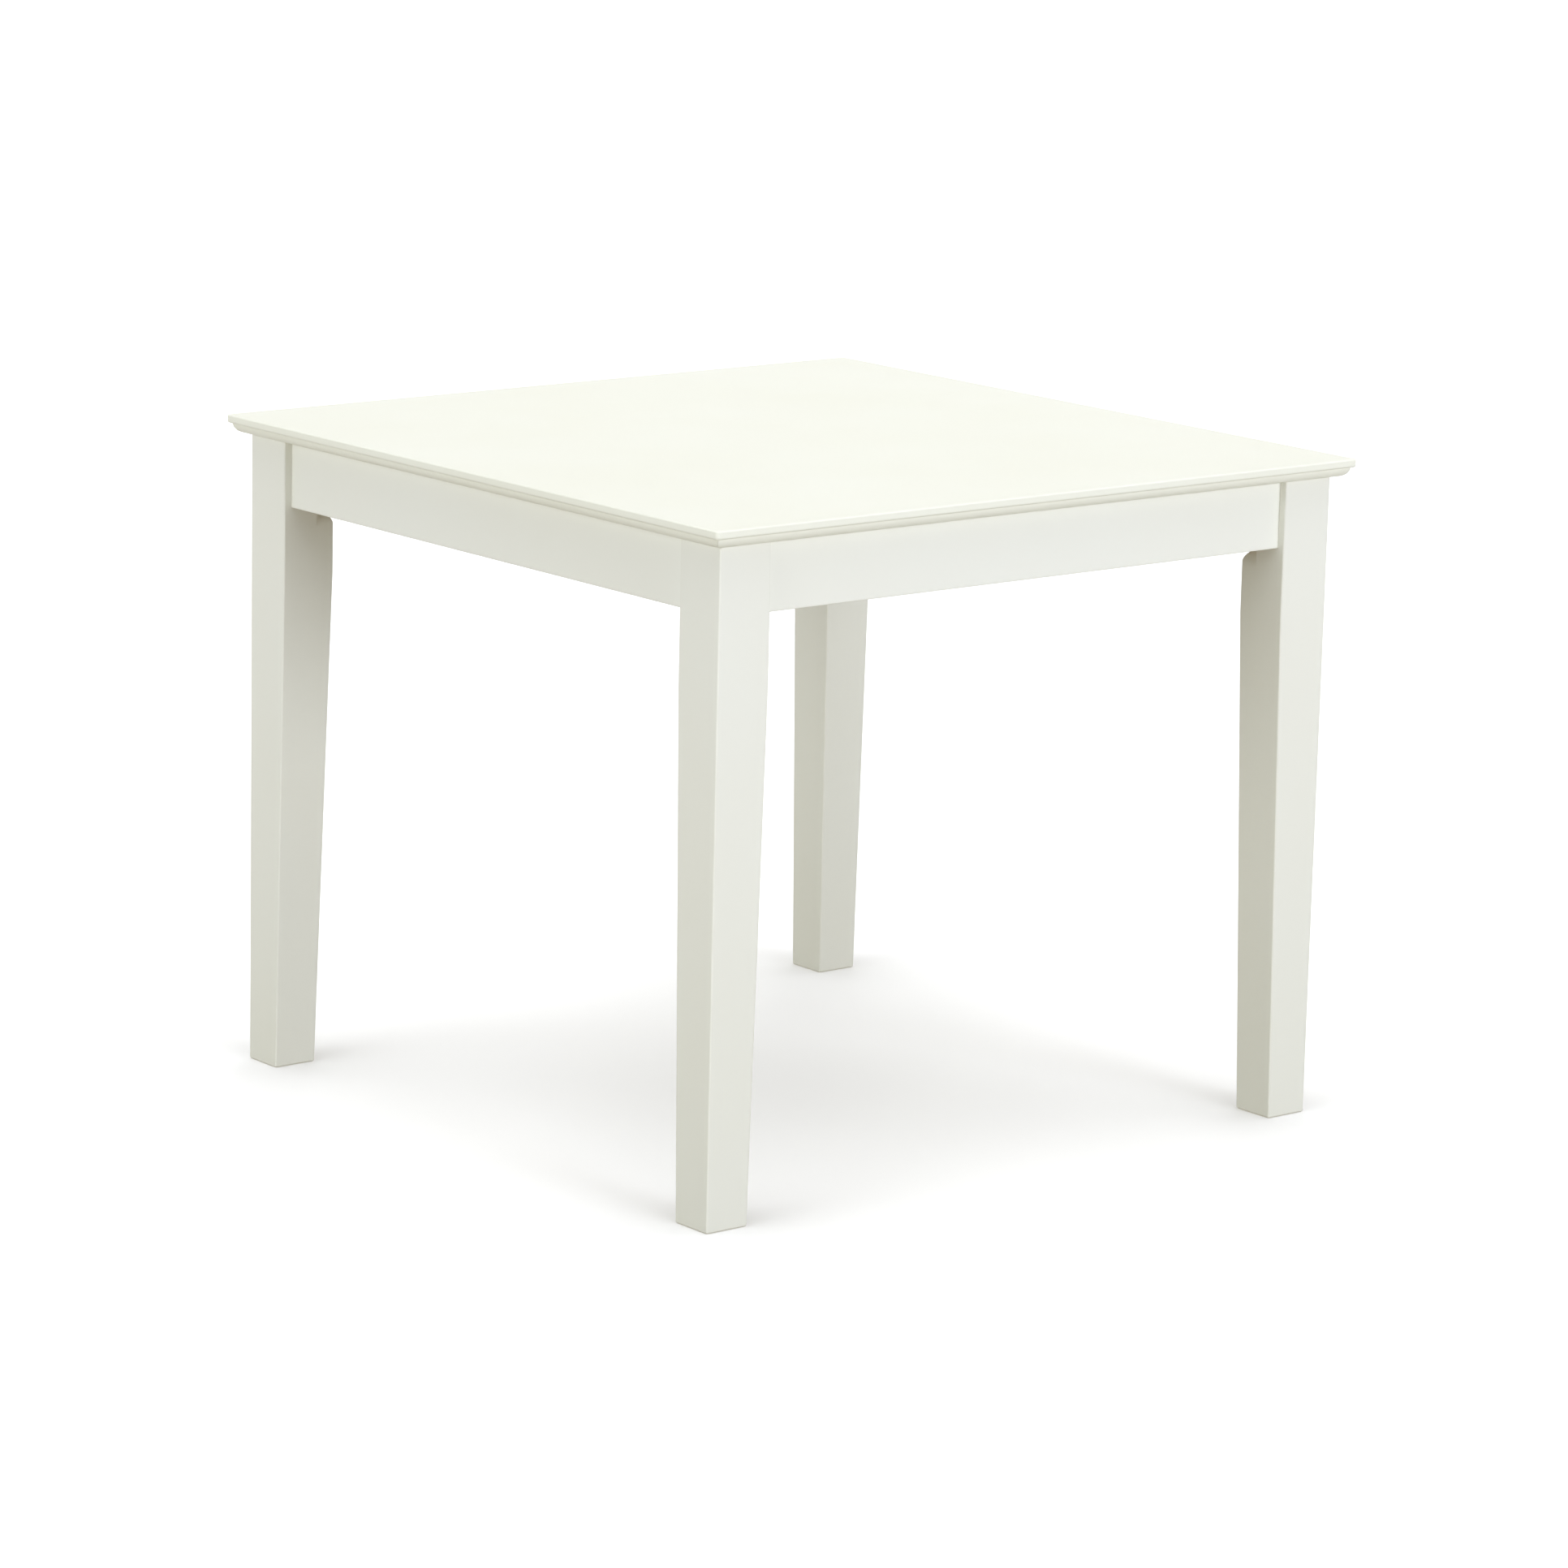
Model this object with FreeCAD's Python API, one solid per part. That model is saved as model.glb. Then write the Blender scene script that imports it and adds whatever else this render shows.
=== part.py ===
import FreeCAD, Part
import math
import os

# Square dining table: a solid top with a moulded edge, four bolt-on legs tapered on their
# inner faces, and a recessed frame of aprons tied at the corners by slotted wooden blocks.
# Millimetres, +Z up, origin on the floor under the middle of the top, front towards -Y.

Vector = FreeCAD.Vector

# Whole table
table_length = 914.4  # along X
table_depth = 914.4  # along Y
table_height = 762.0

# Tabletop and its moulded edge, from the top face down
top_thickness = 20.6
top_corner_radius = 4.5
arris_radius = 2.0
lip_height = 9.5
lip_ease = 2.5
quirk_inset = 5.5  # step in under the lip
quirk_height = 0.5  # upright below the step, above the quarter round

# Legs: square behind the aprons, then tapered on the two inner faces
top_overhang = 21.0  # from the legs' outer faces to the edge of the top
leg_size = 68.0
foot_size = 55.0
straight_below_apron = 80.0
leg_edge_radius = 2.0
foot_ease = 1.5

# Inner corner of a leg, cut flat for its bolts over a rounded shoulder
leg_corner_cut = 24.0  # along each inner face
shoulder_radius = 20.0
shoulder_drop = 27.0  # from the aprons' lower edge down to where the rounding starts

# Aprons
apron_height = 77.8
apron_thickness = 19.0
apron_recess = 9.5  # behind the legs' outer faces
apron_edge_radius = 1.0

# Corner blocks, tongued into grooves of the aprons
block_thickness = 25.0
block_height = 62.0
block_leg_gap = 4.0  # lets the bolts pull the leg tight against the apron ends
tongue_thickness = 6.0
tongue_depth = 7.0
tongue_setback = 2.0  # from the block's face towards the leg
groove_clearance = 0.2

# Hanger bolts with their washers and nuts
bolt_diameter = 8.0
bolt_grip_in_leg = 38.0
bolt_rise = 32.0  # between the two bolts of a corner
bolt_past_nut = 5.0
bolt_point = 6.0
bolt_end_ease = 1.0
washer_diameter = 20.0
washer_thickness = 1.6
lock_washer_diameter = 13.0
lock_washer_thickness = 2.0
lock_washer_slit = 1.6
nut_across_flats = 13.0
nut_height = 6.5
nut_sides = 6
nut_corner_ease = 0.6

# Screws, and the wood that each kind has under its head
screw_diameter = 4.0
screw_point = 4.0
screw_head_diameter = 8.0
screw_head_height = 2.6
screw_head_ease = 1.0
recess_span = 4.4  # cross recess, from wing tip to wing tip at the top of the head
recess_floor_span = 2.0
recess_width = 1.1
recess_depth = 1.6
head_hole_diameter = 10.0
block_screw_length = 28.0
block_screw_grip = 13.0
block_screw_rise = 36.0  # between the two screws of an end
block_screw_setback = 20.0  # from the block's far tip, along the apron
top_screw_length = 42.0
top_screw_grip = 30.0
top_screw_offset = 30.0  # from the middle of the block, along it
apron_screw_length = 32.0
apron_screw_grip = 20.0
apron_screw_tilt = 15.0  # degrees from upright

# Clearances
thread_clearance = 0.1  # round a thread in wood or in its nut
washer_clearance = 0.2
passing_clearance = 0.5  # round a bolt or screw where it only passes through
point_clearance = 1.0  # beyond the point of a bolt or screw
overrun = 5.0  # how far a cutting solid runs past what it cuts

# Heights
under_top = table_height - top_thickness
apron_bottom = under_top - apron_height
taper_start = apron_bottom - straight_below_apron
block_bottom = under_top - block_height
block_middle = under_top - block_height / 2
bolt_levels = [block_middle - bolt_rise / 2, block_middle + bolt_rise / 2]
block_screw_levels = [block_middle - block_screw_rise / 2, block_middle + block_screw_rise / 2]

# Places at a corner, measured from the leg's outer corner: along the table's sides, or along
# the diagonal towards the middle of the table
root_two = math.sqrt(2)
apron_inner_face = apron_recess + apron_thickness
leg_flat = (2 * leg_size - leg_corner_cut) / root_two
block_face = leg_flat + block_leg_gap
block_back = block_face + block_thickness
block_end_start = block_face * root_two - apron_inner_face
block_end_stop = block_back * root_two - apron_inner_face
tongue_start = block_end_start + tongue_setback
block_screw_place = block_end_stop - block_screw_setback
washer_face = block_back + washer_thickness
nut_face = washer_face + lock_washer_thickness
bolt_tip = leg_flat - bolt_grip_in_leg
bolt_end = nut_face + nut_height + bolt_past_nut

# Corners and sides, each a quarter turn further round the table
corners = ["front_left", "front_right", "back_right", "back_left"]
sides = ["front", "right", "back", "left"]
quarter_turn = 90


def spans(place):
    """The table's size along the side that a corner starts, and across it."""
    if place % 2 == 0:
        return table_length, table_depth
    return table_depth, table_length


def at_corner(shape, corner, setback=top_overhang):
    """Move a shape from the corner's own frame, +X and +Y inward, to its corner of the table."""
    place = corners.index(corner)
    along, across = spans(place)
    placed = shape.copy()
    placed.translate(Vector(setback - along / 2, setback - across / 2, 0))
    placed.rotate(Vector(0, 0, 0), Vector(0, 0, 1), place * quarter_turn)
    return placed


def at_side(shape, side):
    """Move a shape from the apron's own frame, +X along it from its middle and +Y inward."""
    place = sides.index(side)
    _, across = spans(place)
    placed = shape.copy()
    placed.translate(Vector(0, top_overhang + apron_recess - across / 2, 0))
    placed.rotate(Vector(0, 0, 0), Vector(0, 0, 1), place * quarter_turn)
    return placed


def apron_length(side):
    """Distance between the two legs that an apron joins."""
    along, _ = spans(sides.index(side))
    return along - 2 * (top_overhang + leg_size)


def aimed(shape, point, direction):
    """Move a shape built along +X from the origin to a point, pointing in a direction."""
    placed = shape.copy()
    placed.Placement = FreeCAD.Placement(point, FreeCAD.Rotation(Vector(1, 0, 0), direction))
    return placed


def extruded(points, base, height):
    """Upright prism on a closed outline given in plan."""
    corners_in_plan = [Vector(x, y, base) for x, y in points]
    outline = Part.makePolygon(corners_in_plan + corners_in_plan[:1])
    return Part.Face(outline).extrude(Vector(0, 0, height))


def turned(profile):
    """Solid turned about the X axis from points given as (place along X, radius)."""
    points = [Vector(along, 0, radius) for along, radius in profile]
    outline = Part.makePolygon(points + points[:1])
    return Part.Face(outline).revolve(Vector(0, 0, 0), Vector(1, 0, 0), 360)


def hole(diameter, depth, point, direction):
    """Round cutting solid from a point, as deep as stated along the direction."""
    return Part.makeCylinder(diameter / 2, depth, point, direction)


def diagonal_point(distance, sideways, level):
    """Point at a distance along the corner's diagonal, and sideways from it."""
    return Vector(
        (distance + sideways) / root_two,
        (distance - sideways) / root_two,
        level,
    )


inward = Vector(1, 1, 0) / root_two
upward = Vector(0, 0, 1)
apron_screw_direction = Vector(
    0,
    -math.sin(math.radians(apron_screw_tilt)),
    math.cos(math.radians(apron_screw_tilt)),
)


def moulding_profile(outer, inner):
    """Upright section of the top in the XZ plane, moulded at X = outer and cut off at inner."""
    lip_bottom = table_height - lip_height
    round_radius = top_thickness - lip_height - quirk_height
    round_top = lip_bottom - quirk_height
    round_centre = outer - quirk_inset - round_radius
    diagonal = math.sqrt(0.5)
    bottom_inner = Vector(inner, 0, under_top)
    bottom_outer = Vector(round_centre, 0, under_top)
    round_middle = Vector(
        round_centre + diagonal * round_radius, 0, round_top - diagonal * round_radius)
    round_end = Vector(outer - quirk_inset, 0, round_top)
    step_inner = Vector(outer - quirk_inset, 0, lip_bottom)
    step_outer = Vector(outer - lip_ease, 0, lip_bottom)
    ease_middle = Vector(
        outer - lip_ease + diagonal * lip_ease, 0, lip_bottom + lip_ease - diagonal * lip_ease)
    lip_low = Vector(outer, 0, lip_bottom + lip_ease)
    lip_high = Vector(outer, 0, table_height - arris_radius)
    arris_middle = Vector(
        outer - arris_radius + diagonal * arris_radius,
        0,
        table_height - arris_radius + diagonal * arris_radius,
    )
    top_outer = Vector(outer - arris_radius, 0, table_height)
    top_inner = Vector(inner, 0, table_height)
    edges = [
        Part.LineSegment(bottom_inner, bottom_outer),
        Part.Arc(bottom_outer, round_middle, round_end),
        Part.LineSegment(round_end, step_inner),
        Part.LineSegment(step_inner, step_outer),
        Part.Arc(step_outer, ease_middle, lip_low),
        Part.LineSegment(lip_low, lip_high),
        Part.Arc(lip_high, arris_middle, top_outer),
        Part.LineSegment(top_outer, top_inner),
        Part.LineSegment(top_inner, bottom_inner),
    ]
    return Part.Face(Part.Wire([edge.toShape() for edge in edges]))


def moulded_bar(length, width):
    """Bar along X whose two long sides, at Y = plus and minus half the width, are moulded."""
    half = moulding_profile(width / 2, 0).extrude(Vector(0, length, 0))
    half.translate(Vector(0, -length / 2, 0))
    other = half.copy()
    other.rotate(Vector(0, 0, 0), upward, 2 * quarter_turn)
    bar = half.fuse(other).removeSplitter()
    bar.rotate(Vector(0, 0, 0), upward, quarter_turn)
    return bar


def corner_square():
    """Upright square that the top's front left round lies in, in the frame of the round's centre."""
    return Part.makeBox(
        top_corner_radius + overrun,
        top_corner_radius + overrun,
        top_thickness + 2 * overrun,
        Vector(-top_corner_radius - overrun, -top_corner_radius - overrun, under_top - overrun),
    )


def moulded_round():
    """The top's front left corner, its moulding turned about the round's centre."""
    section = moulding_profile(top_corner_radius, -top_thickness - quirk_inset)
    beside_axis = Part.makeBox(
        top_corner_radius + overrun,
        2 * overrun,
        top_thickness + 2 * overrun,
        Vector(0, -overrun, under_top - overrun),
    )
    section = section.common(beside_axis)
    section.rotate(Vector(0, 0, 0), upward, 2 * quarter_turn)
    return section.Faces[0].revolve(Vector(0, 0, 0), upward, quarter_turn)


def top_screw_points(level):
    """Where the screws of a corner block meet a level, in the corner's frame."""
    middle = (block_face + block_back) / 2
    return [diagonal_point(middle, sideways, level) for sideways in (-top_screw_offset, top_screw_offset)]


def apron_screw_exit():
    """Where the slanting screw leaves the upper edge of its apron, in the apron's frame."""
    return Vector(0, apron_thickness / 2, under_top)


def tabletop():
    along = moulded_bar(table_length + 2 * overrun, table_depth)
    across = moulded_bar(table_depth + 2 * overrun, table_length)
    across.rotate(Vector(0, 0, 0), upward, quarter_turn)
    top = along.common(across)
    for corner in corners:
        top = top.cut(at_corner(corner_square(), corner, top_corner_radius))
        top = top.fuse(at_corner(moulded_round(), corner, top_corner_radius))
    top = top.removeSplitter()
    pilot = screw_diameter + 2 * thread_clearance
    top_screw_depth = top_screw_length - top_screw_grip + point_clearance
    for corner in corners:
        for point in top_screw_points(under_top - overrun):
            top = top.cut(at_corner(hole(pilot, top_screw_depth + overrun, point, upward), corner))
    slant_depth = apron_screw_length - apron_screw_grip + point_clearance
    slant_start = apron_screw_exit() - apron_screw_direction * overrun
    for side in sides:
        top = top.cut(at_side(hole(pilot, slant_depth + overrun, slant_start, apron_screw_direction), side))
    return top


def rounded_square(low, high, level):
    """Square outline from low to high along X and Y, with the legs' eased corners."""
    near = low + leg_edge_radius
    far = high - leg_edge_radius
    edges = []
    last = None
    first = None
    for turn, x, y in ((-90, far, near), (0, far, far), (90, near, far), (180, near, near)):
        points = []
        for angle in (turn, turn + 45, turn + 90):
            points.append(Vector(
                x + leg_edge_radius * math.cos(math.radians(angle)),
                y + leg_edge_radius * math.sin(math.radians(angle)),
                level,
            ))
        if last is None:
            first = points[0]
        else:
            edges.append(Part.LineSegment(last, points[0]).toShape())
        edges.append(Part.Arc(*points).toShape())
        last = points[-1]
    edges.append(Part.LineSegment(last, first).toShape())
    return Part.Wire(edges)


def leg_corner_waste():
    """What is cut from a leg's inner corner: a flat for the bolts over a rounded shoulder."""
    base = apron_bottom - shoulder_drop
    reach = leg_size + overrun
    start = 2 * leg_size - leg_corner_cut - reach
    waste = extruded([(start, reach), (reach, start), (reach, reach)], base, under_top + overrun - base)
    shoulder = Part.makeBox(
        leg_size, leg_size, shoulder_radius + overrun, Vector(0, 0, base - overrun))
    shoulder_top = base + shoulder_radius
    rounded_edges = []
    for edge in shoulder.Edges:
        middle = edge.CenterOfMass
        on_inner_face = max(middle.x, middle.y) > leg_size - leg_edge_radius
        if on_inner_face and middle.z > shoulder_top - leg_edge_radius:
            rounded_edges.append(edge)
    return waste.cut(shoulder.makeFillet(shoulder_radius, rounded_edges))


def leg():
    body = Part.makeLoft(
        [
            rounded_square(foot_ease, foot_size - foot_ease, 0),
            rounded_square(0, foot_size, foot_ease),
            rounded_square(0, leg_size, taper_start),
            rounded_square(0, leg_size, under_top),
        ],
        True,
        True,
    )
    body = body.cut(leg_corner_waste())
    pilot = bolt_diameter + 2 * thread_clearance
    depth = bolt_grip_in_leg + point_clearance
    for level in bolt_levels:
        mouth = diagonal_point(leg_flat + overrun, 0, level)
        body = body.cut(hole(pilot, depth + overrun, mouth, -inward))
    return body


def apron(length):
    """Apron in its own frame: +X along it from its middle, outer face at Y = 0."""
    board = Part.makeBox(
        length, apron_thickness, apron_height, Vector(-length / 2, 0, apron_bottom))
    lower_edges = [
        edge for edge in board.Edges
        if abs(edge.CenterOfMass.z - apron_bottom) < apron_edge_radius
        and abs(edge.CenterOfMass.x) < apron_edge_radius
    ]
    board = board.makeFillet(apron_edge_radius, lower_edges)
    groove_width = tongue_thickness + 2 * groove_clearance
    groove_depth = tongue_depth + groove_clearance
    pilot = screw_diameter + 2 * thread_clearance
    pilot_depth = block_screw_length - block_screw_grip + point_clearance
    for end in (-1, 1):
        groove_middle = end * (length / 2 + leg_size - tongue_start - tongue_thickness / 2)
        board = board.cut(Part.makeBox(
            groove_width,
            groove_depth + overrun,
            apron_height + 2 * overrun,
            Vector(
                groove_middle - groove_width / 2,
                apron_thickness - groove_depth,
                apron_bottom - overrun,
            ),
        ))
        screw_x = end * (length / 2 + leg_size - block_screw_place)
        for level in block_screw_levels:
            mouth = Vector(screw_x, apron_thickness + overrun, level)
            board = board.cut(hole(pilot, pilot_depth + overrun, mouth, Vector(0, -1, 0)))
    return board.cut(apron_screw_pocket())


def apron_screw_pocket():
    """Slanting hole for the screw that holds the top, with its pocket in the inner face."""
    seat = apron_screw_exit() - apron_screw_direction * apron_screw_grip
    passing = hole(
        screw_diameter + 2 * passing_clearance, apron_screw_grip + overrun, seat, apron_screw_direction)
    pocket = hole(head_hole_diameter, apron_height, seat, -apron_screw_direction)
    return passing.fuse(pocket)


def corner_block():
    """Block across a corner, its two ends tongued into the aprons."""
    tongue_stop = tongue_start + tongue_thickness
    tongue_tip = apron_inner_face - tongue_depth
    half = [
        (block_end_start, apron_inner_face),
        (tongue_start, apron_inner_face),
        (tongue_start, tongue_tip),
        (tongue_stop, tongue_tip),
        (tongue_stop, apron_inner_face),
        (block_end_stop, apron_inner_face),
    ]
    mirrored = [(y, x) for x, y in reversed(half)]
    block = extruded(half + mirrored, block_bottom, block_height)
    bolt_hole = bolt_diameter + 2 * passing_clearance
    for level in bolt_levels:
        mouth = diagonal_point(block_face - overrun, 0, level)
        block = block.cut(hole(bolt_hole, block_thickness + 2 * overrun, mouth, inward))
    screw_hole = screw_diameter + 2 * passing_clearance
    for seat, direction in block_screw_seats():
        block = block.cut(hole(screw_hole, block_screw_grip + overrun, seat, direction))
        block = block.cut(hole(head_hole_diameter, block_thickness, seat, -direction))
    for seat in top_screw_points(under_top - top_screw_grip):
        block = block.cut(hole(screw_hole, top_screw_grip + overrun, seat, upward))
        block = block.cut(hole(head_hole_diameter, block_height, seat, -upward))
    return block


def block_screw_seats():
    """Seat and direction of each screw that holds a block's ends to the aprons."""
    seats = []
    seat_face = apron_inner_face + block_screw_grip
    for level in block_screw_levels:
        seats.append((Vector(block_screw_place, seat_face, level), Vector(0, -1, 0)))
        seats.append((Vector(seat_face, block_screw_place, level), Vector(-1, 0, 0)))
    return seats


def cross_recess():
    """What the driver's cross takes out of a screw's head, its two wings tapering inward."""
    recess_floor = recess_depth - screw_head_height
    wing = extruded(
        [
            (-screw_head_height - overrun, recess_span / 2),
            (-screw_head_height, recess_span / 2),
            (recess_floor, recess_floor_span / 2),
            (recess_floor, -recess_floor_span / 2),
            (-screw_head_height, -recess_span / 2),
            (-screw_head_height - overrun, -recess_span / 2),
        ],
        -recess_width / 2,
        recess_width,
    )
    other = wing.copy()
    other.rotate(Vector(0, 0, 0), Vector(1, 0, 0), quarter_turn)
    return wing.fuse(other)


def screw(length):
    """Wood screw along +X from the seat of its head."""
    radius = screw_diameter / 2
    head_radius = screw_head_diameter / 2
    body = turned([
        (-screw_head_height, 0),
        (-screw_head_height, head_radius - screw_head_ease),
        (-screw_head_height + screw_head_ease, head_radius),
        (0, head_radius),
        (0, radius),
        (length - screw_point, radius),
        (length, 0),
    ])
    return body.cut(cross_recess())


def hanger_bolt():
    radius = bolt_diameter / 2
    return turned([
        (bolt_tip, 0),
        (bolt_tip + bolt_point, radius),
        (bolt_end - bolt_end_ease, radius),
        (bolt_end, radius - bolt_end_ease),
        (bolt_end, 0),
    ])


def ring(start, thickness, outer, bore):
    return turned([
        (start, bore / 2),
        (start + thickness, bore / 2),
        (start + thickness, outer / 2),
        (start, outer / 2),
    ])


def flat_washer():
    return ring(block_back, washer_thickness, washer_diameter, bolt_diameter + 2 * washer_clearance)


def lock_washer():
    bore = bolt_diameter + 2 * washer_clearance
    whole = ring(washer_face, lock_washer_thickness, lock_washer_diameter, bore)
    slit = Part.makeBox(
        lock_washer_thickness + 2 * overrun,
        lock_washer_slit,
        lock_washer_diameter,
        Vector(washer_face - overrun, -lock_washer_slit / 2, 0),
    )
    return whole.cut(slit)


def nut():
    face_radius = nut_across_flats / 2
    corner_radius = face_radius / math.cos(math.pi / nut_sides)
    stop = nut_face + nut_height
    points = []
    for index in range(nut_sides):
        angle = 2 * math.pi * index / nut_sides
        points.append(Vector(
            nut_face, corner_radius * math.cos(angle), corner_radius * math.sin(angle)))
    hexagon = Part.Face(Part.makePolygon(points + points[:1])).extrude(Vector(nut_height, 0, 0))
    eased = turned([
        (nut_face, 0),
        (nut_face, face_radius),
        (nut_face + nut_corner_ease, corner_radius),
        (stop - nut_corner_ease, corner_radius),
        (stop, face_radius),
        (stop, 0),
    ])
    bore = hole(
        bolt_diameter + 2 * thread_clearance,
        nut_height + 2 * overrun,
        Vector(nut_face - overrun, 0, 0),
        Vector(1, 0, 0),
    )
    return hexagon.common(eased).cut(bore)


def on_bolts(piece):
    """The same piece on both bolts of a corner."""
    return Part.makeCompound([aimed(piece, Vector(0, 0, level), inward) for level in bolt_levels])


def block_screws():
    piece = screw(block_screw_length)
    return Part.makeCompound([aimed(piece, *seat) for seat in block_screw_seats()])


def top_screws():
    piece = screw(top_screw_length)
    seats = top_screw_points(under_top - top_screw_grip)
    return Part.makeCompound([aimed(piece, seat, upward) for seat in seats])


def apron_screw():
    seat = apron_screw_exit() - apron_screw_direction * apron_screw_grip
    return aimed(screw(apron_screw_length), seat, apron_screw_direction)


def build():
    parts = {"tabletop": tabletop()}
    corner_pieces = {
        "leg": leg(),
        "corner_block": corner_block(),
        "hanger_bolts": on_bolts(hanger_bolt()),
        "flat_washers": on_bolts(flat_washer()),
        "lock_washers": on_bolts(lock_washer()),
        "nuts": on_bolts(nut()),
        "block_screws": block_screws(),
        "top_screws": top_screws(),
    }
    for name, piece in corner_pieces.items():
        for corner in corners:
            parts[name + "_" + corner] = at_corner(piece, corner)
    for side in sides:
        parts["apron_" + side] = at_side(apron(apron_length(side)), side)
        parts["apron_screw_" + side] = at_side(apron_screw(), side)
    return parts


os.makedirs("parts", exist_ok=True)
for node, shape in build().items():
    if not shape.isValid():
        raise RuntimeError(node + " is not a valid shape")
    shape.exportStep("parts/" + node + ".step")
    print(node, len(shape.Solids), round(shape.Volume, 1))
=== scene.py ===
import math

import bpy
from mathutils import Matrix, Vector


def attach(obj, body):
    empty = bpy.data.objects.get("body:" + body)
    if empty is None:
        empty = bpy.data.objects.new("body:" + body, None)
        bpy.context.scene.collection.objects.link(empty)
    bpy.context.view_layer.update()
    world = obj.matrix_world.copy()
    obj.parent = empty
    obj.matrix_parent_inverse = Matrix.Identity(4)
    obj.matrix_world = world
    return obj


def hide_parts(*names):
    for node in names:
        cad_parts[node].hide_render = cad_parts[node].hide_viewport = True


# Looks of the square dining table: painted wood over raw corner blocks and plated hardware,
# on a pale studio floor. Metres, in the part's own frame.

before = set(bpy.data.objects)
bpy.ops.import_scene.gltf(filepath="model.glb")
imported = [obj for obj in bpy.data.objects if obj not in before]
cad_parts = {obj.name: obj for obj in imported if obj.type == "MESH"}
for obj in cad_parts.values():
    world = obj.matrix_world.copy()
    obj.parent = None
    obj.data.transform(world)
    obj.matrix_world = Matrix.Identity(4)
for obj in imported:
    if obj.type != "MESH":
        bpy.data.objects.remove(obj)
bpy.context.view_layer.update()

corners = ["front_left", "front_right", "back_right", "back_left"]
sides = ["front", "right", "back", "left"]
quarter_turn = math.radians(90)
upright = Vector((0, 0, 1))

# Camera, from the vanishing lines and corners of the picture
picture_size = 1932
focal_pixels = 7275.4
sensor_width = 36.0
camera_place = Vector((-4.1687, -5.1626, 1.8056))
camera_yaw = math.radians(38.976)
camera_pitch = math.radians(12.308)
camera_roll = math.radians(-1.328)

# Light
white = (1.0, 1.0, 1.0)
sky_overhead = 3.3
sky_narrowing = 6.0  # power of the height by which the sky fades towards the horizon
front_light_strength = 2.2
front_light_from = Vector((0.1, -0.99, 0.14))
front_light_colour = (0.96, 1.0, 1.07)
front_light_spread = math.radians(26)
left_light_strength = 2.6
left_light_from = Vector((-1.0, 0.0, 0.05))
left_light_colour = (0.96, 1.0, 1.01)
left_light_spread = math.radians(50)
back_light_strength = 1.9
back_light_from = Vector((0.72, 0.69, 0.0))
back_light_colour = (1.0, 1.0, 0.98)
back_light_spread = math.radians(30)
background_strength = 1.0

# Floor
floor_size = 80.0
floor_drop = 0.0002  # how far the floor lies under the feet
floor_near_return = (0.21, 0.17, 0.08)  # light that the floor sends back to the object
floor_far_return = (0.57, 0.535, 0.53)
floor_near_reach = 1.6
floor_far_reach = 2.2
floor_seen_colour = (0.9, 0.9, 0.9)
floor_glow = 0.37
contact_reach = 0.35  # how far from a foot the floor is faintly darker
contact_full = 0.82  # openness of the floor at which its contact shade is full
contact_share = 0.2

# Paint
paint_top = (0.887, 0.893, 0.795)
paint_top_warm = (0.881, 0.884, 0.78)
# The aprons' paint is lighter than the legs': the paint colour with painted light that offsets the shade
# under the top's overhang
apron_paint_and_painted_light = (0.892, 0.898, 0.833)
apron_warm_paint_and_painted_light = (0.888, 0.89, 0.818)
paint_legs = (0.864, 0.868, 0.8)
paint_legs_warm = (0.86, 0.86, 0.785)
# Edge colour of the paint: thinner, worn paint, and painted shade that dulls the bright line along the
# edges
paint_edge_wear_and_painted_shade = (0.76, 0.75, 0.67)
paint_edge_wear_and_painted_shade_share = 0.5
paint_smooth = 0.38
paint_dull = 0.47
paint_ior = 1.48
paint_patch = 0.25  # size of the faint cloudy patches of colour
patch_detail = 4.0
grain_width = 0.0022  # spacing of the grain that shows faintly through the paint
grain_stretch_share = 0.03  # how much finer the grain is across than along
grain_detail = 5.0
grain_rough = 0.6
grain_from = 0.62  # noise at which the grain starts to show, and at which it shows most
grain_full = 0.8
grain_share = 0.25
grain_depth = 0.00003
spray_width = 0.0012
spray_depth = 0.000012

# Edges: worn on the wood and metal; on the paint, worn and also darkened as painted shade
edge_width = 0.003
edge_open = 0.92  # openness inside a piece at its open faces, and at its sharp edges
edge_full = 0.6
openness_samples = 6

# Noise: its middle, and how far from there it is all one colour or the other
noise_middle = 0.5
soft_spread = 0.2
firm_spread = 0.15
band_spread = 0.12
plain_detail = 2.0
fine_detail = 3.0
plain_rough = 0.5

# Raw wood of the corner blocks
wood_light = (0.72, 0.5, 0.29)
wood_dark = (0.57, 0.37, 0.2)
wood_ring_width = 0.006
wood_stretch_share = 0.06
wood_pore_width = 0.0006
wood_pore_rough = 0.7
wood_pore_from = 0.56  # noise at which the pores start to show, and at which they show most
wood_pore_full = 0.75
wood_pore_share = 0.6
wood_depth = 0.00006
wood_smooth = 0.6
wood_dull = 0.75
wood_edge_share = 0.4

# Metal
zinc_light = (0.74, 0.74, 0.72)
zinc_dark = (0.62, 0.62, 0.61)
screw_light = (0.2, 0.19, 0.175)
screw_dark = (0.11, 0.1, 0.09)
zinc_smooth = 0.22
zinc_dull = 0.4
screw_smooth = 0.3
screw_dull = 0.5
metal_edge_width = 0.00055
metal_edge_share = 0.7
metal_cloud = 0.004
metal_scratch = 0.0003
metal_depth = 0.000008

# Machine thread on the hanger bolts
thread_pitch = 0.00125
thread_depth = 0.0007
thread_length = 0.022
thread_steps_round = 28
thread_steps_per_pitch = 6
thread_end_ease = 0.001
point_length_share = 1.5  # length of a bolt's point, in radii


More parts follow.
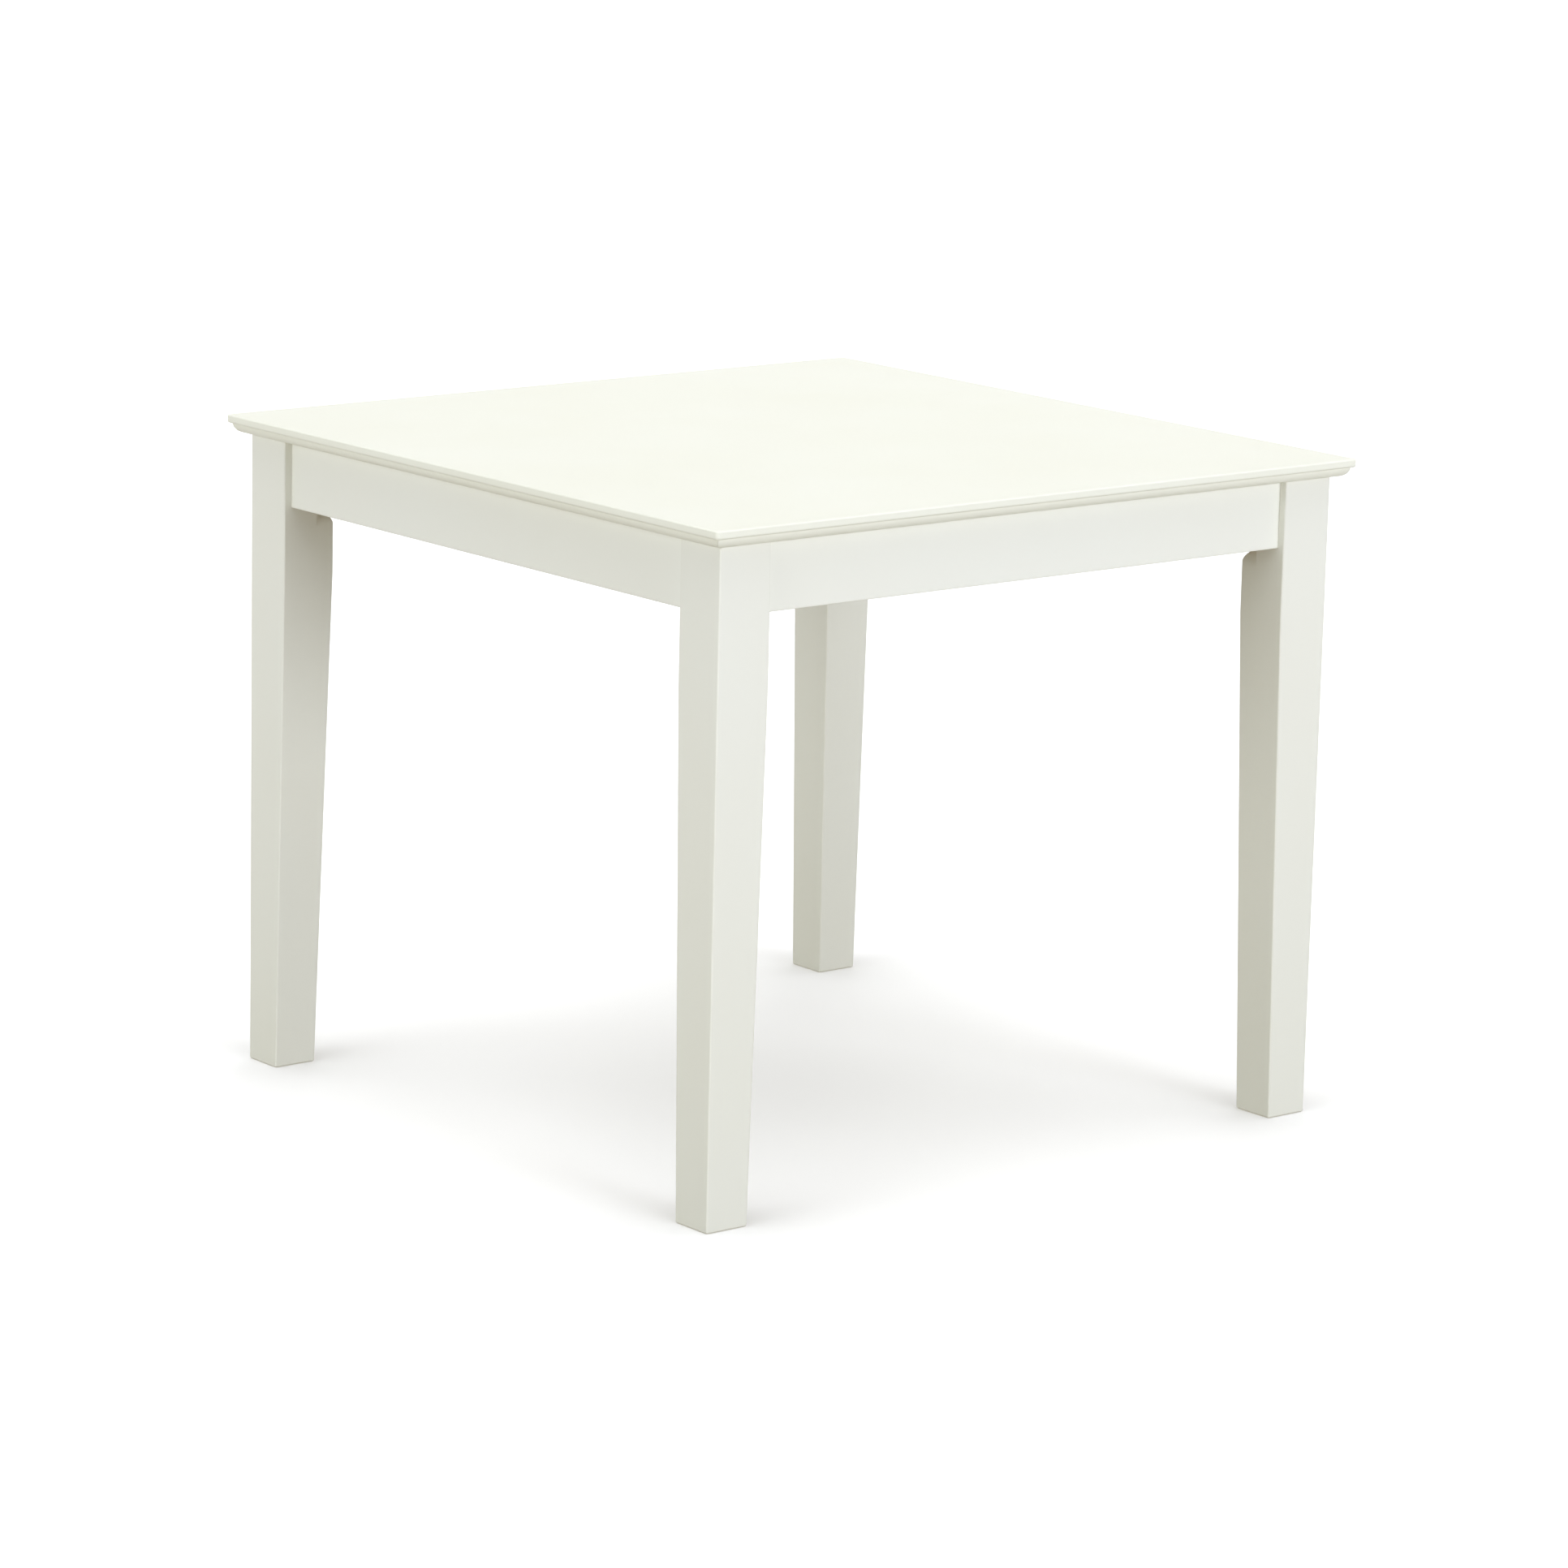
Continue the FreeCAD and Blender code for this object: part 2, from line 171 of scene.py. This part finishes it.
def add_node(tree, kind, inputs=None, **settings):
    """A new node with its settings, and its inputs linked to sockets or set to values."""
    node = tree.nodes.new(kind)
    for name, value in settings.items():
        setattr(node, name, value)
    for name, value in (inputs or {}).items():
        if isinstance(value, bpy.types.NodeSocket):
            tree.links.new(value, node.inputs[name])
        else:
            node.inputs[name].default_value = value
    return node


def colour(value):
    """A colour with full opacity, as a socket takes it."""
    return (*value, 1.0)


def mixed(tree, share, first, second):
    """Colour that goes from the first to the second as share goes from 0 to 1."""
    node = add_node(tree, "ShaderNodeMix", data_type="RGBA")
    colour_inputs = [socket for socket in node.inputs if socket.type == "RGBA"]
    tree.links.new(share, node.inputs["Factor"])
    for socket, value in zip(colour_inputs, (first, second)):
        if isinstance(value, bpy.types.NodeSocket):
            tree.links.new(value, socket)
        else:
            socket.default_value = colour(value)
    return next(socket for socket in node.outputs if socket.type == "RGBA")


def ranged(tree, value, low, high, new_low=0.0, new_high=1.0):
    """Value mapped from one range to another and held inside it."""
    node = add_node(tree, "ShaderNodeMapRange", {
        "Value": value,
        "From Min": low,
        "From Max": high,
        "To Min": new_low,
        "To Max": new_high,
    })
    return node.outputs["Result"]


def maths(tree, operation, first, second):
    """Result of one operation on two numbers or sockets."""
    node = add_node(tree, "ShaderNodeMath", {0: first, 1: second}, operation=operation)
    return node.outputs[0]


def even_coordinates(tree):
    """Coordinates in metres."""
    return add_node(tree, "ShaderNodeTexCoord").outputs["Object"]


def grain_coordinates(tree, stretch, turn=0.0):
    """Coordinates in metres, turned about Z and then drawn out along the grain."""
    turned = add_node(tree, "ShaderNodeMapping", {
        "Vector": even_coordinates(tree),
        "Rotation": (0.0, 0.0, turn),
    })
    stretched = add_node(tree, "ShaderNodeMapping", {
        "Vector": turned.outputs["Vector"],
        "Scale": stretch,
    })
    return stretched.outputs["Vector"]


def spread(tree, value, reach, new_low=0.0, new_high=1.0):
    """Noise mapped from its middle range, so far either way, to another range."""
    return ranged(tree, value, noise_middle - reach, noise_middle + reach, new_low, new_high)


def noise(tree, coordinates, size, detail, rough=plain_rough):
    """Noise whose largest patches are of about the given size."""
    node = add_node(tree, "ShaderNodeTexNoise", {
        "Vector": coordinates,
        "Scale": 1 / size,
        "Detail": detail,
        "Roughness": rough,
    })
    return node.outputs[0]


def bumped(tree, height, depth, normal=None):
    """Normal with a relief of the given depth, over another normal if there is one."""
    inputs = {"Height": height, "Distance": depth}
    if normal is not None:
        inputs["Normal"] = normal
    return add_node(tree, "ShaderNodeBump", inputs).outputs["Normal"]


def openness(tree, reach, inside):
    """Share of the directions, out of a piece or into it, in which nothing is within reach."""
    node = add_node(
        tree, "ShaderNodeAmbientOcclusion", {"Distance": reach}, inside=inside, samples=openness_samples)
    return node.outputs["AO"]


def edge_share(tree, width):
    """Near 1 on the outer edges of a piece and 0 on its open faces."""
    return ranged(tree, openness(tree, width, True), edge_open, edge_full)


def material(name):
    """A new material without any nodes."""
    made = bpy.data.materials.new(name)
    made.use_nodes = True
    made.node_tree.nodes.clear()
    return made


def finish_material(made, inputs):
    """Close a material with its surface shader."""
    tree = made.node_tree
    surface = add_node(tree, "ShaderNodeBsdfPrincipled", inputs)
    output = add_node(tree, "ShaderNodeOutputMaterial")
    tree.links.new(surface.outputs[0], output.inputs["Surface"])
    return made


def paint(name, plain, warm, stretch):
    """Satin paint sprayed over fine-grained wood."""
    made = material(name)
    tree = made.node_tree
    even = even_coordinates(tree)
    along = grain_coordinates(tree, stretch)
    patches = noise(tree, even, paint_patch, patch_detail)
    grain = noise(tree, along, grain_width, grain_detail, grain_rough)
    spray = noise(tree, even, spray_width, plain_detail)
    edge = edge_share(tree, edge_width)
    body = mixed(tree, spread(tree, patches, firm_spread), plain, warm)
    lines = ranged(tree, grain, grain_from, grain_full, 0.0, grain_share)
    grained = mixed(tree, lines, body, warm)
    # Edges darkened: worn paint, and painted shade that dulls their bright line
    edged = mixed(tree, maths(tree, "MULTIPLY", edge, paint_edge_wear_and_painted_shade_share), grained, paint_edge_wear_and_painted_shade)
    roughness = spread(tree, patches, soft_spread, paint_smooth, paint_dull)
    fine_bump = bumped(tree, spray, spray_depth)
    relief = bumped(tree, grain, grain_depth, fine_bump)
    return finish_material(made, {
        "Base Color": edged,
        "Roughness": roughness,
        "IOR": paint_ior,
        "Normal": relief,
    })


def raw_wood(name, turn):
    """Sanded unpainted wood whose grain runs along a corner block."""
    made = material(name)
    tree = made.node_tree
    along = grain_coordinates(tree, (wood_stretch_share, 1.0, 1.0), turn)
    rings = noise(tree, along, wood_ring_width, plain_detail)
    pores = noise(tree, along, wood_pore_width, fine_detail, wood_pore_rough)
    edge = edge_share(tree, edge_width)
    banded = mixed(tree, spread(tree, rings, band_spread), wood_light, wood_dark)
    specks = ranged(tree, pores, wood_pore_from, wood_pore_full, 0.0, wood_pore_share)
    pored = mixed(tree, specks, banded, wood_dark)
    edged = mixed(tree, maths(tree, "MULTIPLY", edge, wood_edge_share), pored, wood_light)
    roughness = spread(tree, rings, soft_spread, wood_smooth, wood_dull)
    relief = bumped(tree, pores, wood_depth)
    return finish_material(made, {
        "Base Color": edged,
        "Roughness": roughness,
        "Normal": relief,
    })


def metal(name, light, dark, smooth, dull):
    """Plated steel, cloudy and lightly scratched, brighter where its edges are rubbed."""
    made = material(name)
    tree = made.node_tree
    even = even_coordinates(tree)
    clouds = noise(tree, even, metal_cloud, fine_detail)
    scratches = noise(tree, even, metal_scratch, plain_detail)
    edge = edge_share(tree, metal_edge_width)
    body = mixed(tree, spread(tree, clouds, firm_spread), light, dark)
    edged = mixed(tree, maths(tree, "MULTIPLY", edge, metal_edge_share), body, light)
    roughness = spread(tree, clouds, soft_spread, smooth, dull)
    relief = bumped(tree, scratches, metal_depth)
    return finish_material(made, {
        "Base Color": edged,
        "Metallic": 1.0,
        "Roughness": roughness,
        "Normal": relief,
    })


def dress(node, look):
    """Give a node of the part, or a piece of the scene, its look."""
    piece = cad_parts[node] if isinstance(node, str) else node
    piece.data.materials.clear()
    piece.data.materials.append(look)


def grain_stretch(axis):
    """Stretch that draws the grain out along one axis."""
    return tuple(grain_stretch_share if name == axis else 1.0 for name in "XYZ")


def dress_painted_wood():
    """Paint the top, the legs and the aprons, each with the grain along its length."""
    dress("tabletop", paint("painted_top", paint_top, paint_top_warm, grain_stretch("X")))
    legs = paint("painted_legs", paint_legs, paint_legs_warm, grain_stretch("Z"))
    for corner in corners:
        dress("leg_" + corner, legs)
    for axis, pair in (("X", ("front", "back")), ("Y", ("right", "left"))):
        # Aprons get the lighter paint, as painted light against the shade under the top's overhang
        aprons = paint(
            "aprons_paint_and_painted_light_" + axis, apron_paint_and_painted_light, apron_warm_paint_and_painted_light, grain_stretch(axis))
        for side in pair:
            dress("apron_" + side, aprons)


def dress_blocks():
    """Each corner block lies across its corner, so its grain is turned half a quarter turn."""
    for place, corner in enumerate(corners):
        turn = quarter_turn / 2 if place % 2 == 0 else -quarter_turn / 2
        dress("corner_block_" + corner, raw_wood("raw_wood_" + corner, turn))


def dress_hardware():
    """Zinc-plated bolts, washers and nuts, and dark screws."""
    zinc = metal("zinc_steel", zinc_light, zinc_dark, zinc_smooth, zinc_dull)
    dark_steel = metal("screw_steel", screw_light, screw_dark, screw_smooth, screw_dull)
    for corner in corners:
        for name in ("flat_washers_", "lock_washers_", "nuts_"):
            dress(name + corner, zinc)
        for name in ("block_screws_", "top_screws_"):
            dress(name + corner, dark_steel)
        threaded_bolts(corner, zinc)
    for side in sides:
        dress("apron_screw_" + side, dark_steel)


def extent(node, direction):
    """Lowest and highest place of a node's surface along a direction."""
    places = [vertex.co.dot(direction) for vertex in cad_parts[node].data.vertices]
    return min(places), max(places)


def thread_radius(outer, place, angle):
    """Radius of a threaded rod at a place along it and an angle round it."""
    turns = place / thread_pitch - angle / (2 * math.pi)
    ridge = abs(2 * (turns - math.floor(turns)) - 1)
    return outer - thread_depth * ridge


def rod_rings(start, stop, outer):
    """Places along a hanger bolt: its point, its plain shank and each step of its thread."""
    inner = outer - thread_depth
    thread_start = stop - thread_length
    rings = [(start, 0.0), (start + point_length_share * outer, inner), (thread_start, inner)]
    steps = round((thread_length - thread_end_ease) / thread_pitch * thread_steps_per_pitch)
    for step in range(1, steps + 1):
        rings.append((thread_start + step * thread_pitch / thread_steps_per_pitch, None))
    rings.append((stop, outer - thread_end_ease))
    rings.append((stop, 0.0))
    return rings


def add_rod(vertices, faces, base, inward, across, rings, outer):
    """Add one threaded rod, ring by ring along the inward direction."""
    first = len(vertices)
    for place, radius in rings:
        for step in range(thread_steps_round):
            angle = 2 * math.pi * step / thread_steps_round
            reach = thread_radius(outer, place, angle) if radius is None else radius
            out = across * math.cos(angle) + upright * math.sin(angle)
            vertices.append(base + inward * place + out * reach)
    for ring in range(len(rings) - 1):
        for step in range(thread_steps_round):
            a = first + ring * thread_steps_round + step
            b = first + ring * thread_steps_round + (step + 1) % thread_steps_round
            faces.append((a, a + thread_steps_round, b + thread_steps_round, b))


def threaded_bolts(corner, look):
    """The two hanger bolts of a corner with their machine thread, in place of the plain ones."""
    node = "hanger_bolts_" + corner
    turned = Matrix.Rotation(corners.index(corner) * quarter_turn, 3, "Z")
    inward = turned @ Vector((1, 1, 0)).normalized()
    across = upright.cross(inward)
    start, stop = extent(node, inward)
    left, right = extent(node, across)
    bottom, top = extent(node, upright)
    outer = (right - left) / 2
    rings = rod_rings(start, stop, outer)
    vertices = []
    faces = []
    for level in (bottom + outer, top - outer):
        base = across * (left + right) / 2 + upright * level
        add_rod(vertices, faces, base, inward, across, rings, outer)
    mesh = bpy.data.meshes.new("threaded_bolts_" + corner)
    mesh.from_pydata(vertices, [], faces)
    mesh.validate()
    piece = bpy.data.objects.new("threaded_bolts_" + corner, mesh)
    bpy.context.scene.collection.objects.link(piece)
    dress(piece, look)
    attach(piece, "root")
    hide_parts(node)


def background_rays(tree):
    """1 for the rays that show the background: straight, mirrored or through glass."""
    path = add_node(tree, "ShaderNodeLightPath")
    seen = maths(tree, "MAXIMUM", path.outputs["Is Camera Ray"], path.outputs["Is Glossy Ray"])
    return maths(tree, "MAXIMUM", seen, path.outputs["Is Transmission Ray"])


def returned_light(tree):
    """Light that the floor sends back to the object, dimmer in its shade than farther away."""
    from_middle = add_node(
        tree, "ShaderNodeVectorMath", {0: even_coordinates(tree)}, operation="LENGTH")
    away = ranged(tree, from_middle.outputs["Value"], floor_near_reach, floor_far_reach)
    returned = mixed(tree, away, floor_near_return, floor_far_return)
    return add_node(tree, "ShaderNodeEmission", {"Color": returned}).outputs[0]


def seen_floor(tree):
    """The floor as it shows: its shadow over a glow, and a little darker close to a foot."""
    shown = add_node(tree, "ShaderNodeBsdfDiffuse", {"Color": colour(floor_seen_colour)})
    glow = add_node(tree, "ShaderNodeEmission", {"Strength": floor_glow})
    lit = add_node(tree, "ShaderNodeAddShader", {0: shown.outputs[0], 1: glow.outputs[0]})
    above = openness(tree, contact_reach, False)
    contact = ranged(tree, above, 1.0, contact_full, 0.0, contact_share)
    return add_node(tree, "ShaderNodeMixShader", {0: contact, 1: lit.outputs[0]}).outputs[0]


def floor_look():
    """Nearly white from above and clear from below."""
    look = material("floor")
    tree = look.node_tree
    top_side = add_node(tree, "ShaderNodeMixShader", {
        0: background_rays(tree),
        1: returned_light(tree),
        2: seen_floor(tree),
    })
    clear = add_node(tree, "ShaderNodeBsdfTransparent")
    under_side = add_node(tree, "ShaderNodeNewGeometry").outputs["Backfacing"]
    both = add_node(tree, "ShaderNodeMixShader", {
        0: under_side,
        1: top_side.outputs[0],
        2: clear.outputs[0],
    })
    output = add_node(tree, "ShaderNodeOutputMaterial")
    tree.links.new(both.outputs[0], output.inputs["Surface"])
    return look


def make_floor():
    """Pale floor that keeps the object's shadow, just under the feet."""
    half = floor_size / 2
    mesh = bpy.data.meshes.new("floor")
    mesh.from_pydata(
        [(-half, -half, -floor_drop), (half, -half, -floor_drop),
         (half, half, -floor_drop), (-half, half, -floor_drop)],
        [], [(0, 1, 2, 3)])
    mesh.materials.append(floor_look())
    floor = bpy.data.objects.new("floor", mesh)
    bpy.context.scene.collection.objects.link(floor)


def make_sky():
    """Soft light from overhead that fades towards the horizon, seen as white."""
    world = bpy.data.worlds.new("studio")
    world.use_nodes = True
    tree = world.node_tree
    tree.nodes.clear()
    direction = add_node(tree, "ShaderNodeTexCoord").outputs["Generated"]
    height = add_node(tree, "ShaderNodeSeparateXYZ", {"Vector": direction}).outputs["Z"]
    fading = maths(tree, "POWER", maths(tree, "MAXIMUM", height, 0.0), sky_narrowing)
    strength = maths(tree, "MULTIPLY", fading, sky_overhead)
    light = add_node(
        tree, "ShaderNodeBackground", {"Color": colour(white), "Strength": strength})
    background = add_node(
        tree, "ShaderNodeBackground", {"Color": colour(white), "Strength": background_strength})
    chosen = add_node(tree, "ShaderNodeMixShader", {
        0: background_rays(tree),
        1: light.outputs[0],
        2: background.outputs[0],
    })
    output = add_node(tree, "ShaderNodeOutputWorld")
    tree.links.new(chosen.outputs[0], output.inputs["Surface"])
    bpy.context.scene.world = world


def make_soft_light(name, strength, source, shade, across):
    """Broad soft light from one side, alike all over the floor, which the paint doesn't mirror."""
    data = bpy.data.lights.new(name, "SUN")
    data.energy = strength
    data.color = shade
    data.angle = across
    lamp = bpy.data.objects.new(name, data)
    lamp.rotation_mode = "QUATERNION"
    lamp.rotation_quaternion = source.to_track_quat("Z", "Y")
    lamp.visible_glossy = False
    bpy.context.scene.collection.objects.link(lamp)


def make_camera():
    """Camera standing where the picture was taken from, with its lens and slight roll."""
    forward = Vector((
        math.sin(camera_yaw) * math.cos(camera_pitch),
        math.cos(camera_yaw) * math.cos(camera_pitch),
        -math.sin(camera_pitch),
    ))
    level_right = Vector((math.cos(camera_yaw), -math.sin(camera_yaw), 0.0))
    level_up = level_right.cross(forward)
    right = math.cos(camera_roll) * level_right - math.sin(camera_roll) * level_up
    up = math.sin(camera_roll) * level_right + math.cos(camera_roll) * level_up
    data = bpy.data.cameras.new("camera")
    data.sensor_width = sensor_width
    data.lens = focal_pixels / picture_size * sensor_width
    data.clip_end = 2 * floor_size
    camera = bpy.data.objects.new("camera", data)
    axes = Matrix((right, up, -forward)).transposed()
    camera.matrix_world = Matrix.Translation(camera_place) @ axes.to_4x4()
    bpy.context.scene.collection.objects.link(camera)
    bpy.context.scene.camera = camera


dress_painted_wood()
dress_blocks()
dress_hardware()
make_floor()
make_sky()
make_soft_light(
    "front_light", front_light_strength, front_light_from, front_light_colour, front_light_spread)
make_soft_light(
    "left_light", left_light_strength, left_light_from, left_light_colour, left_light_spread)
make_soft_light(
    "back_light", back_light_strength, back_light_from, back_light_colour, back_light_spread)
make_camera()
bpy.context.scene.view_settings.view_transform = "Standard"
